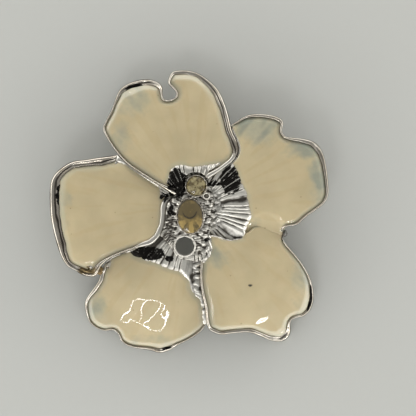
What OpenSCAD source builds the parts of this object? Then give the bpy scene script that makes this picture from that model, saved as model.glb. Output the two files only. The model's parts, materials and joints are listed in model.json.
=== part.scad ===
// Enamelled flower brooch with a bar pin back.
// Five cast petals and a cast centre hold enamel and glass stones; a bar on the back carries
// a hinged pin stem and a roll-over safety catch. The flower faces +Z and the pin back rests on Z = 0.

/* [Flower] */
// Overall span of the flower, petal tip to petal tip
flower_span = 56.6; // [50:0.2:66]
// Radius of the sphere that each petal is domed to, on a flower of the nominal span
dome_r = 45; // [40:1:70]
// Distance of the crown of the top and lower petals from the flower's middle, at the nominal span
crown_reach = 7; // [5:0.5:8]
// Distance of the crown of the left and right petals from the flower's middle, at the nominal span
side_reach = 13; // [12:0.5:14]

/* [Petals] */
// Metal under the enamel
floor_t = 1.0; // [0.7:0.05:1.6]
// Depth of the pocket that the enamel fills
pocket_t = 0.55; // [0.3:0.05:0.9]
// How far the enamel stays below the rim
enamel_low = 0.1; // [0:0.05:0.25]
// Height of the top petal's underside over the back plane
top_lift = 1.9; // [1.8:0.1:2.2]
// Height of the left and right petals' undersides over the back plane
side_lift = 1.4; // [1.3:0.1:1.7]
// Height of the lower right petal's underside over the back plane
lower_right_lift = 0.8; // [0.6:0.1:1.2]
// Height of the lower left petal's underside over the back plane
lower_left_lift = 0.3; // [0.1:0.1:0.6]

/* [Centre] */
// Height of the stones' girdle plane over the back plane
centre_h = 3.1; // [2.8:0.1:4]
// Radius of the dome over the centre
centre_dome_r = 32; // [28:1:50]
// Diameter of the empty stone seat, open through the casting
seat_d = 3.6; // [3:0.1:4.2]
// Width of the collar round each stone seat
collar_w = 0.6; // [0.4:0.05:0.9]
// Height of the stone collars over the girdle plane
collar_h = 0.5; // [0.3:0.05:0.8]
// Diameter of the cast ball beside the round stone
ball_d = 2.0; // [1.4:0.1:2.6]

/* [Stones] */
// Width of the oval stone
oval_w = 5.0; // [4:0.1:6]
// Length of the oval stone
oval_l = 6.8; // [5.6:0.1:8]
// Depth of the oval stone below its girdle
oval_deep = 1.4; // [1:0.1:1.8]
// Diameter of the round stone
round_d = 3.9; // [3:0.1:4.4]
// Depth of the round stone below its girdle
round_deep = 1.3; // [1:0.1:1.6]
// Height of each stone above its girdle
stone_h = 1.0; // [0.6:0.1:1.6]
// Width of the glue line round a stone
stone_gap = 0.04; // [0.02:0.01:0.1]

/* [Pin bar] */
// Length of the bar
bar_l = 31; // [26:0.5:33]
// Width of the bar
bar_w = 5; // [4:0.1:6]
// Sheet thickness of the bar
bar_t = 0.6; // [0.5:0.05:1]
// Place of the bar's centre line above the flower's middle
bar_y = 1.5; // [1:0.1:2.5]
// Room for cloth between the pin stem and the bar
cloth_gap = 4.2; // [4.15:0.05:5]
// Diameter of the two rivet holes in the bar
bar_hole_d = 1.6; // [1:0.1:2.2]
// Distance of each rivet hole from the bar's middle
bar_hole_x = 8.5; // [8:0.1:9.5]

/* [Pin stem] */
// Diameter of the pin wire
stem_d = 0.8; // [0.6:0.05:1]
// Length of the ground point
point_l = 3.2; // [2:0.1:4.5]
// How far the point reaches past the catch housing's outer face
point_past = 0.1; // [0:0.05:0.4]
// Diameter of the coiled eye
eye_d = 2.6; // [2.3:0.1:3]
// Width of the coiled eye
eye_w = 1.8; // [1.4:0.1:2.2]
// Diameter of the hinge rivet
rivet_d = 1.0; // [0.8:0.05:1.2]
// Radial clearance of the eye on the rivet
eye_play = 0.05; // [0.03:0.01:0.1]
// Sheet thickness of each hinge ear
ear_t = 0.6; // [0.5:0.05:0.9]
// Clearance beside the eye, and beside the catch housing
side_play = 0.1; // [0.05:0.01:0.2]

/* [Catch] */
// Outer diameter of the catch housing, which also sets the pin's height over the table
housing_d = 3.4; // [3.4:0.1:4.4]
// Wall of the catch housing
housing_wall = 0.5; // [0.4:0.05:0.6]
// Length of the catch housing along the pin
housing_l = 2.2; // [1.8:0.1:3]
// Radial clearance of the barrel in its housing
barrel_play = 0.05; // [0.03:0.01:0.1]
// Radial clearance of the stem in the barrel
stem_play = 0.2; // [0.12:0.01:0.25]
// Thickness of the barrel's end flange, which carries the lever
flange_t = 0.6; // [0.4:0.05:0.9]
// Thickness of the rolled lip that keeps the barrel in its housing
lip_t = 0.3; // [0.2:0.05:0.5]
// Length of the lever from the barrel's axis
lever_l = 3.2; // [2.6:0.1:3.6]
// Width of the lever
lever_w = 1.6; // [1.2:0.1:2]

/* [Hidden] */
$fn = 48;

tiny = 0.01;
sky = 40;                                        // height that every cutting prism reaches
nominal_span = 56.6;                             // span at which the outlines below are drawn
k = flower_span / nominal_span;
bow_r = dome_r * k * k;                          // petals' domes: their tips drop as far at every span

pin_z = housing_d / 2;                           // the pin's axis over the table
bar_z = pin_z + stem_d / 2 + cloth_gap;          // underside of the bar
back_z = bar_z + bar_t;                          // back plane of the casting
seat_z = back_z + centre_h;                      // girdle plane of both stones
rim_t = floor_t + pocket_t;                      // full thickness of a petal
enamel_t = rim_t - enamel_low;                   // enamel surface over the petal's underside

ear_r = housing_d / 2;
ear_gap = eye_w + 2 * side_play;
hinge_x = bar_l / 2 - ear_r + 0.3;               // hinge axis, near the bar's end
catch_x = -bar_l / 2 + flange_t + side_play + 0.3; // outer face of the catch housing
stem_l = hinge_x - catch_x + point_past;         // from the hinge axis to the point
barrel_r = housing_d / 2 - housing_wall - barrel_play;
bore_r = stem_d / 2 + stem_play;                 // bore of the barrel, and half the width of its slot

// How each petal is domed: [direction of its crown in degrees from +X, reach of the crown, lift]
top_form = [100, crown_reach, top_lift];
right_form = [27, side_reach, side_lift];
lower_right_form = [-51, crown_reach, lower_right_lift];
lower_left_form = [-117, crown_reach, lower_left_lift];
left_form = [180, side_reach, side_lift];

// Places of the stones on the centre: [x, y]
oval_at = [0.15, -0.85];
round_at = [1.35, 5.1];
seat_at = [-0.9, -6.8];
ball_at = [3.4, 3.0];
oval_turn = 4;                                   // the oval stone's lean, in degrees

// Places of the solder between two neighbouring petals: [x, y]
left_joint_at = [-18.4, -11.4];
right_joint_at = [18.7, -4.3];

// Petal outlines in millimetres at the nominal span, clockwise from the side nearest the flower's middle.
// Each free point is [x, y, rim width]; root closes the metal, and fan closes the enamel's pocket.
top_free = [
  [-5, 4.6, .4], [-7.9, 6.5, .4], [-11.9, 9.1, .4], [-14.3, 11.5, .4], [-16.5, 14.7, .4],
  [-17.3, 16.5, .6], [-16.9, 17.9, .6], [-15.7, 20.1, .5], [-14.9, 22.3, .6], [-14.1, 24.2, 1.1],
  [-12.7, 25.4, 1.6], [-10.7, 26.2, 1.6], [-8.5, 26.5, 1.4], [-6.5, 26, 1.3], [-5.4, 24.9, .9],
  [-5.3, 23.5, .5], [-5.1, 22.5, .4], [-4.1, 22.3, .4], [-2.9, 22.8, .4], [-2.7, 23.7, .5],
  [-3.5, 24.7, .5], [-4.3, 25.6, .4], [-4.1, 26.9, .6], [-3.4, 28, .9], [-1.9, 28.3, 1.1],
  [.1, 28.2, 1.1], [2.1, 27.5, 1.1], [4.3, 25.9, 1.4], [5.9, 24.1, 1.6], [7.1, 21.5, 1.5],
  [7.9, 18.9, 1.4], [8.5, 16.2, 1.4], [9.5, 14.1, 1.5], [9.9, 12.3, 1.5], [9.3, 10.7, 1.2],
  [7.7, 9.2, .8]];
top_root = [[5.1, 7.4], [3.3, 6.1], [1.5, 3.5], [-.9, 2.5], [-3.5, 3.6]];
top_fan = [[4.9, 9.2], [2.1, 8.8], [.1, 8.7], [-1.3, 9.1], [-2.7, 8.9], [-3.7, 7.9], [-4.1, 6.3]];

right_free = [
  [8.3, 17.2, .3], [9.3, 17.9, .5], [10.5, 18.8, .6], [12.1, 19.4, .7], [14.5, 19.5, .8],
  [16.7, 19.2, .8], [18.3, 18.5, .9], [18.8, 17.5, .8], [18.5, 16.3, .5], [18.9, 15.2, .5],
  [20.5, 14.8, .7], [22.7, 14.6, .9], [24.7, 14, 1.2], [26.1, 12.7, 1.2], [26.9, 10.9, 1.1],
  [27.4, 8.5, .9], [27.7, 5.9, .8], [27.8, 3.7, .7], [27.1, 1.9, .6], [25.5, .5, .5],
  [23.3, -1, .5], [21.5, -2.6, .5], [19.9, -2.9, .4], [18.7, -3.3, .3]];
right_root = [[17.5, -6], [10, -8], [2.5, -5.5], [1.5, 3.5], [3, 8], [7, 11.5], [7.3, 15]];
right_fan = [[17.5, -5.5], [13.5, -5], [12.7, -3.1], [12.5, -1.9], [11.9, -.1], [11.5, 1.9],
  [11.3, 3.5], [10.5, 5.1], [9.9, 6.7], [9.3, 8.3], [8.5, 9.5], [7.5, 11], [7.3, 15]];

lower_right_free = [
  [18.4, -4.2, .2], [18.7, -5.5, .2], [19.7, -6.9, .3], [21.1, -8.5, .3], [22.5, -10.3, .4],
  [23.7, -12.3, .4], [24.5, -14.3, .6], [24.9, -16.5, .9], [24.8, -18.2, 1.2], [24.1, -19.9, 1.1],
  [22.8, -21, .7], [21.4, -21.3, .5], [20.5, -21.7, .5], [20.2, -22.6, .7], [20.3, -24, 1.2],
  [19.6, -25.4, 1.6], [18.1, -26.1, 1.4], [16.1, -25.8, 1], [14.1, -24.9, .9], [12.1, -24.2, .9],
  [10.1, -24.2, .9], [8.1, -24.4, .9], [6.3, -24.6, .9], [4.7, -24.1, .9], [3.7, -23.3, .8],
  [3.3, -21.5, .6], [3.1, -19.1, .6], [2.5, -16.5, .6], [2.2, -14.1, .5], [2.1, -11.9, .5],
  [2.3, -9.9, .6]];
lower_right_root = [[2.5, -7], [3.3, -4.9], [5.3, -4.7], [7.7, -5.5], [10.1, -5.2], [12.1, -4.7],
  [13.3, -3.7], [15.7, -3.3]];
lower_right_fan = [[3.9, -8.7], [4.3, -7.3], [4.1, -5.6], [4.3, -4], [7.7, -4.6], [10.1, -4.3],
  [12, -3.6], [13.2, -2.8], [15.7, -2.4], [18, -2.8]];

lower_left_free = [
  [3.4, -22.3, .6], [2.7, -23.5, .4], [1.3, -24.7, .4], [-.5, -25.8, .4], [-2.3, -26.7, .5],
  [-3.9, -27.7, 1], [-5.9, -28.3, 1.1], [-7.9, -27.7, .7], [-10.3, -27.4, .5], [-12.3, -26.9, .4],
  [-13.7, -25.9, .4], [-14.3, -24.5, .4], [-15.3, -23.7, .4], [-16.9, -23.9, .4], [-18.7, -23.3, .4],
  [-20.1, -22.1, .5], [-20.8, -20.1, .6], [-21, -18.3, .7], [-20.4, -16.8, .8], [-19.1, -15.1, .9],
  [-18.1, -13.5, 1], [-17.7, -11.9, 1], [-16.8, -10.3, .9]];
lower_left_root = [[-15.5, -8], [-12, -6.3], [-8, -5], [-3.5, -3.5], [.5, -5], [2.8, -8.5], [4, -12],
  [4.2, -18], [4.2, -21]];
lower_left_fan = [[-15.6, -9], [-14, -8], [-12, -7.6], [-11, -8.6], [-9.9, -9.1], [-7.9, -9.7],
  [-6.5, -10.1], [-4.9, -10.9], [-3.1, -11.5], [-1.7, -11.9], [-.7, -12.9], [.1, -13.7],
  [.3, -15.1], [1.1, -16.5], [2.1, -17.2], [2.6, -19.1], [2.8, -21.3]];

left_free = [
  [-3.5, 2.6, .5], [-4.3, 1.7, .8], [-4.6, -.1, .7], [-4.8, -2.3, .6], [-5.5, -4.3, .5],
  [-6.5, -5.7, .4], [-7.7, -6.6, .4], [-9.9, -7.1, .3], [-12.9, -8, .3], [-15.5, -9.1, .4],
  [-17.3, -10.5, .8], [-17.9, -11.6, 1.3], [-18.4, -12.6, 1.9], [-19.5, -13, 2.2], [-21.1, -12.7, 1.7],
  [-22.5, -11.9, 1.3], [-24.3, -10.9, 1.3], [-25.5, -9.1, 1.7], [-26.4, -6.5, 1.9], [-27.1, -3.9, 2],
  [-27.6, -1.3, 2.1], [-27.8, 1.5, 2.2], [-27.8, 4.5, 2.3], [-27.5, 6.4, 2.3], [-26.5, 7.9, 1.9],
  [-24.9, 9.2, 1.6], [-23.1, 10.1, 1.5], [-20.7, 10.4, 1.5], [-18.3, 10.8, 1.7], [-15.9, 11.1, 1.6],
  [-13.9, 11.3, 1.5]];
left_root = [[-11.5, 11], [-8, 8.5], [-5, 6], [-3.6, 4.6], [-3.1, 3.4]];
left_fan = [[-12, 9.5], [-9, 8], [-6.5, 6], [-5.6, 4.4], [-5.6, 2.6]];

// The cast centre, which reaches under the left petal's inner rim
centre_outline = [[-.7, 7.3], [1.1, 7.9], [2.9, 7.4], [3.8, 5.9], [4.5, 4.1], [4.9, 1.5], [4.6, -1.1],
  [4.2, -3.5], [3.5, -5.5], [4.1, -7.5], [2.9, -9.1], [1.7, -9.9], [-.3, -9.5], [-2.3, -9.1],
  [-3.6, -7.1], [-4.6, -5.8], [-5.9, -4.4], [-5.4, -2.6], [-5.2, -.5], [-4.8, 1.6], [-3.4, 2.6],
  [-1.4, 4.1], [-1.3, 5.7]];

// ---- outlines ----

function last(v) = v[len(v) - 1];

// One point of a Catmull-Rom curve between b and c
function between(a, b, c, d, t) =
  0.5 * (2 * b + (c - a) * t + (2 * a - 5 * b + 4 * c - d) * t * t + (3 * b - a - 3 * c + d) * t * t * t);

// A closed smooth curve through every point of p, n steps a span
function ring(p, n) = let (m = len(p))
  [for (i = [0:m - 1], s = [0:n - 1])
    between(p[(i + m - 1) % m], p[i], p[(i + 1) % m], p[(i + 2) % m], s / n)];

// An open smooth curve through every point of p
function line(p, n) = let (m = len(p))
  [for (i = [0:m - 2], s = [0:n - 1])
    between(p[max(i - 1, 0)], p[i], p[i + 1], p[min(i + 2, m - 1)], s / n), last(p)];

function flat(p) = [for (q = p) k * [q[0], q[1]]];

// The free edge moved inwards by its own rim width: inwards is to the right of a clockwise walk
function inset(c) = let (m = len(c))
  [for (i = [0:m - 1])
    let (a = c[max(i - 1, 0)], b = c[min(i + 1, m - 1)], d = [b[0] - a[0], b[1] - a[1]])
    k * ([c[i][0], c[i][1]] + c[i][2] * [d[1], -d[0]] / norm(d))];

function edge_of(free, root) = flat(ring(concat([for (q = free) [q[0], q[1]]], root), 3));

function pocket_of(free, fan) = concat(inset(line(free, 3)), flat(line(fan, 3)));

module prism(outline) {
  linear_extrude(sky) polygon(outline);
}

module over_top() { prism(edge_of(top_free, top_root)); }
module over_right() { prism(edge_of(right_free, right_root)); }
module over_lower_right() { prism(edge_of(lower_right_free, lower_right_root)); }
module over_lower_left() { prism(edge_of(lower_left_free, lower_left_root)); }
module over_left() { prism(edge_of(left_free, left_root)); }
module over_centre() { prism(flat(ring(centre_outline, 3))); }

// ---- petals ----

function crown_of(form) = k * form[1] * [cos(form[0]), sin(form[0])];

// Height of a petal's underside over a place [x, y]
function under_z(form, at) = let (a = norm(at - crown_of(form)))
  back_z + form[2] - bow_r + sqrt(bow_r * bow_r - a * a);

// The space between two heights over a petal's underside
module dome_layer(form, low, high) {
  crown = crown_of(form);
  translate([crown[0], crown[1], back_z + form[2] - bow_r]) difference() {
    sphere(bow_r + high);
    sphere(bow_r + low);
  }
}

// A petal's metal: its outline, less the enamel's pocket and the pieces that lie over it
module petal(free, root, fan, form) {
  difference() {
    intersection() {
      prism(edge_of(free, root));
      dome_layer(form, 0, rim_t);
    }
    intersection() {
      prism(pocket_of(free, fan));
      dome_layer(form, floor_t, rim_t + 1);
    }
    children();
  }
}

// The enamel that fills a petal's pocket
module enamel(free, root, fan, form) {
  difference() {
    intersection() {
      prism(pocket_of(free, fan));
      prism(edge_of(free, root));
      dome_layer(form, floor_t, enamel_t);
    }
    children();
  }
}

module top_petal() {
  color("silver") petal(top_free, top_root, top_fan, top_form) over_centre();
}

module top_enamel() {
  color("wheat") enamel(top_free, top_root, top_fan, top_form) over_centre();
}

module pieces_over_right() {
  over_top();
  over_lower_right();
  over_centre();
}

module right_petal() {
  color("silver") petal(right_free, right_root, right_fan, right_form) pieces_over_right();
}

module right_enamel() {
  color("wheat") enamel(right_free, right_root, right_fan, right_form) pieces_over_right();
}

module lower_right_petal() {
  color("silver")
    petal(lower_right_free, lower_right_root, lower_right_fan, lower_right_form) over_centre();
}

module lower_right_enamel() {
  color("wheat")
    enamel(lower_right_free, lower_right_root, lower_right_fan, lower_right_form) over_centre();
}

module pieces_over_lower_left() {
  over_left();
  over_lower_right();
  over_centre();
}

module lower_left_petal() {
  color("silver")
    petal(lower_left_free, lower_left_root, lower_left_fan, lower_left_form) pieces_over_lower_left();
}

module lower_left_enamel() {
  color("wheat")
    enamel(lower_left_free, lower_left_root, lower_left_fan, lower_left_form) pieces_over_lower_left();
}

module left_petal() {
  color("silver") petal(left_free, left_root, left_fan, left_form) over_top();
}

module left_enamel() {
  color("wheat") enamel(left_free, left_root, left_fan, left_form) over_top();
}

// ---- centre and stones ----

function oval(w, l) = [for (a = [0:10:350]) [w / 2 * cos(a), l / 2 * sin(a)]];

module on_centre(at, turn = 0) {
  translate([k * at[0], k * at[1], 0]) rotate(turn) children();
}

module centre_casting() {
  round_r = round_d / 2 + stone_gap;
  collar_w2 = 2 * collar_w;
  color("silver") difference() {
    union() {
      intersection() {
        translate([0, 0, back_z]) linear_extrude(sky) polygon(flat(ring(centre_outline, 3)));
        translate([0, -1, seat_z + collar_h / 2 - centre_dome_r]) sphere(centre_dome_r, $fn = 72);
      }
      intersection() {
        over_centre();
        union() {
          on_centre(oval_at, oval_turn) translate([0, 0, back_z])
            linear_extrude(centre_h + collar_h) polygon(oval(oval_w + collar_w2, oval_l + collar_w2));
          on_centre(round_at) translate([0, 0, back_z]) cylinder(r = round_r + collar_w, h = centre_h + collar_h);
          on_centre(seat_at) translate([0, 0, back_z]) cylinder(r = seat_d / 2 + collar_w, h = centre_h);
        }
      }
      on_centre(ball_at) translate([0, 0, seat_z]) sphere(ball_d / 2);
    }
    over_left();
    on_centre(oval_at, oval_turn) translate([0, 0, seat_z - oval_deep])
      linear_extrude(sky) polygon(oval(oval_w + 2 * stone_gap, oval_l + 2 * stone_gap));
    on_centre(round_at) translate([0, 0, seat_z - round_deep]) cylinder(r = round_r, h = sky);
    on_centre(seat_at) cylinder(d = seat_d, h = sky);
  }
}

// A low dome on an oval girdle
module oval_stone() {
  dome = oval_l * oval_l / (8 * stone_h) + stone_h;
  color("darkgoldenrod") on_centre(oval_at, oval_turn) intersection() {
    translate([0, 0, seat_z - oval_deep]) linear_extrude(oval_deep + stone_h) polygon(oval(oval_w, oval_l));
    translate([0, 0, seat_z + stone_h - dome]) sphere(dome);
  }
}

// A faceted stone's outer cones
module round_stone() {
  table_r = round_d * 0.3;
  culet_r = round_d * 0.2;
  color("khaki") on_centre(round_at) {
    translate([0, 0, seat_z]) cylinder(r1 = round_d / 2, r2 = table_r, h = stone_h);
    translate([0, 0, seat_z - round_deep]) cylinder(r1 = culet_r, r2 = round_d / 2, h = round_deep);
  }
}

// ---- solder ----

// Solder between an upper petal and the one under it
module petal_solder(at, r, upper, lower) {
  low = under_z(lower, k * at) + floor_t / 2;
  high = under_z(upper, k * at) + rim_t - 0.3;
  translate([k * at[0], k * at[1], low]) cylinder(r = r, h = high - low);
}

module left_solder() {
  color("sienna") difference() {
    petal_solder(left_joint_at, 1.3, left_form, lower_left_form);
    over_left();
    over_lower_left();
  }
}

module right_solder() {
  color("gray") difference() {
    petal_solder(right_joint_at, 0.8, right_form, lower_right_form);
    over_right();
    over_lower_right();
  }
}

// Two beads along the bar's edges, under the centre casting
module bar_solder() {
  bead_r = 0.55;
  bead_l = 6;
  color("gray") difference() {
    for (side = [-1, 1])
      translate([-bead_l / 2, bar_y + side * bar_w / 2, back_z]) rotate([0, 90, 0]) cylinder(r = bead_r, h = bead_l);
    translate([-bar_l, -bar_l, back_z]) cube([2 * bar_l, 2 * bar_l, sky]);
    translate([-bar_l / 2, bar_y - bar_w / 2, 0]) cube([bar_l, bar_w, sky]);
  }
}

// ---- pin back ----

module bar_outline() {
  end_r = bar_w / 2;
  for (side = [-1, 1])
    translate([side * (bar_l / 2 - end_r), 0, 0]) circle(end_r);
  square([bar_l - 2 * end_r, bar_w], center = true);
}

// An ear hangs from the bar and ends round about the hinge axis
module ear() {
  translate([hinge_x, 0, 0]) rotate([90, 0, 0]) linear_extrude(ear_t, center = true) {
    translate([0, pin_z]) circle(ear_r);
    translate([-ear_r, pin_z]) square([2 * ear_r, bar_z + tiny - pin_z]);
  }
}

module pin_bar() {
  color("gainsboro") difference() {
    union() {
      translate([0, bar_y, bar_z]) linear_extrude(bar_t) bar_outline();
      for (side = [-1, 1])
        translate([0, bar_y + side * (ear_gap + ear_t) / 2, 0]) ear();
    }
    for (side = [-1, 1])
      translate([side * bar_hole_x, bar_y, bar_z - tiny]) cylinder(d = bar_hole_d, h = bar_t + 2 * tiny);
    translate([hinge_x, bar_y, pin_z]) rotate([90, 0, 0]) cylinder(d = rivet_d, h = bar_w + 2, center = true);
  }
}

module hinge_rivet() {
  head_t = 0.35;
  head_d = rivet_d + 0.8;
  shank_l = ear_gap + 2 * ear_t;
  color("silver") translate([hinge_x, bar_y, pin_z]) rotate([90, 0, 0]) {
    cylinder(d = rivet_d, h = shank_l + head_t, center = true);
    for (side = [-1, 1])
      translate([0, 0, side * (shank_l + head_t) / 2]) cylinder(d = head_d, h = head_t, center = true);
  }
}

module pin_stem() {
  color("lightgray") translate([hinge_x, bar_y, pin_z]) difference() {
    union() {
      rotate([90, 0, 0]) cylinder(d = eye_d, h = eye_w, center = true);
      rotate([0, -90, 0]) cylinder(d = stem_d, h = stem_l - point_l);
      translate([point_l - stem_l, 0, 0]) rotate([0, -90, 0]) cylinder(d1 = stem_d, d2 = 0.12, h = point_l);
    }
    rotate([90, 0, 0]) cylinder(r = rivet_d / 2 + eye_play, h = eye_w + 1, center = true);
  }
}

// The slot through which the stem enters faces the table
module slot() {
  translate([-sky / 2, -bore_r, -housing_d]) cube([sky, 2 * bore_r, housing_d]);
}

// A cylinder along the pin, from x, in the catch's own place
module along_pin(x, r, l) {
  translate([x, 0, 0]) rotate([0, 90, 0]) cylinder(r = r, h = l);
}

module catch_housing() {
  leg_w = 2.4;
  color("gainsboro") translate([catch_x, bar_y, pin_z]) difference() {
    union() {
      along_pin(0, housing_d / 2, housing_l);
      translate([0, -leg_w / 2, 0]) cube([housing_l, leg_w, bar_z - pin_z]);
    }
    along_pin(-1, barrel_r + barrel_play, housing_l + 2);
    slot();
  }
}

module catch_barrel() {
  flange_r = housing_d / 2 - 0.1;
  lip_r = barrel_r + barrel_play + 0.2;
  outer = -side_play - flange_t;
  inner = housing_l + side_play;
  color("silver") translate([catch_x, bar_y, pin_z]) difference() {
    union() {
      along_pin(outer, barrel_r, inner - outer);
      along_pin(outer, flange_r, flange_t);
      along_pin(inner, lip_r, lip_t);
      translate([outer, 0, -lever_w / 2]) cube([flange_t, lever_l - lever_w / 2, lever_w]);
      translate([0, lever_l - lever_w / 2, 0]) along_pin(outer, lever_w / 2, flange_t);
    }
    along_pin(-sky / 2, bore_r, sky);
    slot();
  }
}

top_petal();
right_petal();
lower_right_petal();
lower_left_petal();
left_petal();
centre_casting();
top_enamel();
right_enamel();
lower_right_enamel();
lower_left_enamel();
left_enamel();
oval_stone();
round_stone();
left_solder();
right_solder();
bar_solder();
pin_bar();
hinge_rivet();
pin_stem();
catch_housing();
catch_barrel();
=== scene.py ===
"""Enamelled flower brooch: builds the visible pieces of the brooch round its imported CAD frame."""

import json
import math

import bpy
import numpy as np
from bpy.props import FloatProperty, FloatVectorProperty, PointerProperty
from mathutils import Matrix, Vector


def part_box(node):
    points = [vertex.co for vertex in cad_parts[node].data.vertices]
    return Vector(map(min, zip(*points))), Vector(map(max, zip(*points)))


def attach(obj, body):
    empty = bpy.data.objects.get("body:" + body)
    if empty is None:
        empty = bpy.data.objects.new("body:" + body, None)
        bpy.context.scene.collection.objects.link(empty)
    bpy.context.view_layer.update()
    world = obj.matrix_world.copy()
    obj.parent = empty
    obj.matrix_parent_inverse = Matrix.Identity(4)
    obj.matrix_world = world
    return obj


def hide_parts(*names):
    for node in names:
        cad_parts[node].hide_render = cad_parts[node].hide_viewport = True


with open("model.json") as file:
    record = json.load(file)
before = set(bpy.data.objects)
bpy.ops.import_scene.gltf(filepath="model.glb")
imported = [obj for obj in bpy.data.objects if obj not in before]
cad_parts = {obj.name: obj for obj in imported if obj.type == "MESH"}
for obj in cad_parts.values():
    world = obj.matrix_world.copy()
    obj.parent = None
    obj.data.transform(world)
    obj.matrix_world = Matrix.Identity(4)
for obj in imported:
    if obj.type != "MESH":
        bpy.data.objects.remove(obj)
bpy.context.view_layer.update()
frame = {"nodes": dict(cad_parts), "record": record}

bl_info = {
    "name": "Enamelled Flower Brooch",
    "version": (1, 0, 0),
    "blender": (4, 5, 0),
    "location": "3D View > Sidebar > Brooch",
    "description": "Cast petals, enamel, stones and pin back of a flower brooch",
    "category": "Add Mesh",
}

MM = 1000.0  # millimetres in a metre
BODY = "flower"
# Each petal, and the petals along whose edges it has no rim of its own
PETALS = {
    "left": ("top",),
    "right": ("top", "lower_right"),
    "lower_left": ("left", "lower_right"),
    "lower_right": ("right",),
    "top": (),
}
FLOWER_EYE = (0.8, 0.6)  # the ridges of every petal run towards this place, in mm
# Rims that go on past the enamel: middle x, y and reach of the stretch, and the rim's width, in mm
BANDS = {"top": (6.5, 8.6, 4.3, 0.9), "left": (-6.5, -1.5, 7.2, 1.25)}
# Stretches of outline that the enamel flows over: middle x, y, reach, and how far it flows down, in mm
BRIDGES = {"lower_right": (14.6, -3.6, 4.9, 0.0), "right": (15.0, -3.6, 4.4, 0.85)}
# Black patches on the castings: tarnish in the hollows, and painted dark reflection of the dim room above.
# Centre x, y, half width, half height in mm, and depth of tone
DARK_REFLECTIONS_AND_TARNISH = (
    (-2.6, 5.6, 2.0, 3.4, 1.0),
    (-5.1, 2.9, 0.9, 1.2, 1.0),
    (-3.6, 0.2, 0.6, 1.6, 0.7),
    (8.2, 6.3, 2.2, 3.1, 1.0),
    (5.0, 5.6, 1.5, 0.7, 0.7),
    (9.5, 1.0, 1.6, 1.0, 0.35),
    (-8.4, -8.3, 3.7, 1.6, 1.0),
    (-3.9, -9.3, 1.0, 0.7, 0.9),
    (3.5, -5.6, 0.9, 0.6, 0.7),
    (-4.3, -27.4, 1.4, 0.6, 1.0),
    (-25.8, 3.3, 0.8, 2.3, 1.0),
    (18.9, -4.4, 0.8, 1.6, 0.9),
    (24.2, -17.6, 1.0, 3.2, 1.0),
    (-11.5, 25.0, 2.6, 0.8, 0.8),
)
# Veils of thin grey-green enamel, in the same form
VEILS = (
    (13.6, 17.0, 7.0, 5.0, 1.3),
    (22.5, 12.6, 5.0, 2.8, 1.0),
    (26.0, 6.0, 2.8, 8.5, 1.0),
    (12.5, -2.2, 3.0, 1.6, 0.5),
    (-11.0, 22.4, 5.0, 4.4, 0.75),
    (-13.6, 13.4, 3.2, 5.4, 0.7),
    (-18.6, -19.5, 3.2, 5.0, 0.7),
    (-8.0, -26.0, 7.0, 2.6, 0.6),
    (5.0, -8.8, 4.0, 3.4, 0.7),
    (22.6, -14.5, 3.0, 6.0, 0.6),
    (-24.6, 1.0, 1.6, 9.0, 0.4),
)
CUP_AT = (3.4, 3.1)  # the small cup beside the round stone, in mm
SPECK = (12.1, -14.65, 0.42)  # a dark speck fired into the enamel: x, y and half width in mm
# Dull, dirty places of the castings, in the same form
DULL = (
    (-4.3, -3.6, 1.5, 3.2, 0.95),
    (-6.0, -6.4, 2.2, 1.2, 0.7),
    (5.6, 1.6, 1.2, 2.0, 0.5),
    (5.6, 3.8, 1.7, 1.4, 0.6),
    (4.4, 0.6, 0.7, 1.9, 0.6),
    (3.6, -8.2, 0.8, 1.2, 0.5),
    (8.8, -5.0, 3.0, 0.7, 0.6),
)
# Brown stains, in the same form
STAINS = (
    (-20.4, -11.7, 1.9, 0.9, 1.0),
    (-18.2, -11.3, 0.9, 0.7, 0.5),
)
METAL_STEP, ENAMEL_STEP, CENTRE_STEP = 0.13, 0.16, 0.09  # grid steps of the plates, in mm
RIDGES = 54  # cast ridges in a full turn
WIDEST_RIM = 2.5  # a wider border than this carries no rim, in mm
UNRIMMED = (0.3, 0.9)  # width and height of the plain edge where a petal has no rim, in mm
LEAST_METAL = 0.2  # thinnest metal, where a petal sinks towards its neighbour, in mm
CENTRE_BOW = 32  # radius of the low dome of the cast centre, in mm
COLLAR_WALL, COLLAR_GROW = 0.30, 0.15  # a collar's wall, and how far its middle is from its stone, in mm
GIRDLE_DEPTH = 1.0  # from a stone's crown down to its girdle, in mm
VIEW_MIDDLE = (0.0037, 0.00075, 0.0065)  # what the camera looks at, in metres
FLOOR_HALF = 1.5  # metres
WINDOW_AT, LAMP_AT = (-0.24, -0.60, 0.68), (0.40, -0.65, 0.56)  # metres
WINDOW_HALF = (0.13, 0.10)  # metres
PANES = (-1, -0.35, 0.35, 1)  # uprights of the window, as shares of its half width
BAR, LAMP_BAR, LAMP_WIDE, LAMP_GAP = 0.007, 0.005, 0.11, 0.012  # bars of both lights, in metres
STRIP_POWER = 0.16  # watts
SKY = ((0.0, 1.0), (0.30, 1.0), (0.44, 0.20), (0.65, 0.13), (1.0, 0.10))  # height, brightness of the room
SKY_STRENGTH = 3.4
WORN, DIRT_AND_SHADE_TONE = (0.42, 0.36, 0.28, 1), (0.045, 0.038, 0.030, 1)  # worn plating, and the near-black of dirt and painted shade in its hollows
PIT, SPECK_TONE = (0.26, 0.19, 0.10, 1), (0.03, 0.025, 0.02, 1)  # pits and the speck in the enamel
GLASS_SHADOW = (0.016, 0.011, 0.004, 1)


# ---------------------------------------------------------------- sizes and colours


def metres(name, description, default):
    """A size in metres."""
    return FloatProperty(name=name, description=description, default=default, unit="LENGTH")


def tint(name, description, *default):
    """A colour as red, green and blue, 0 to 1."""
    return FloatVectorProperty(name=name, description=description, subtype="COLOR", default=default)


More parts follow.
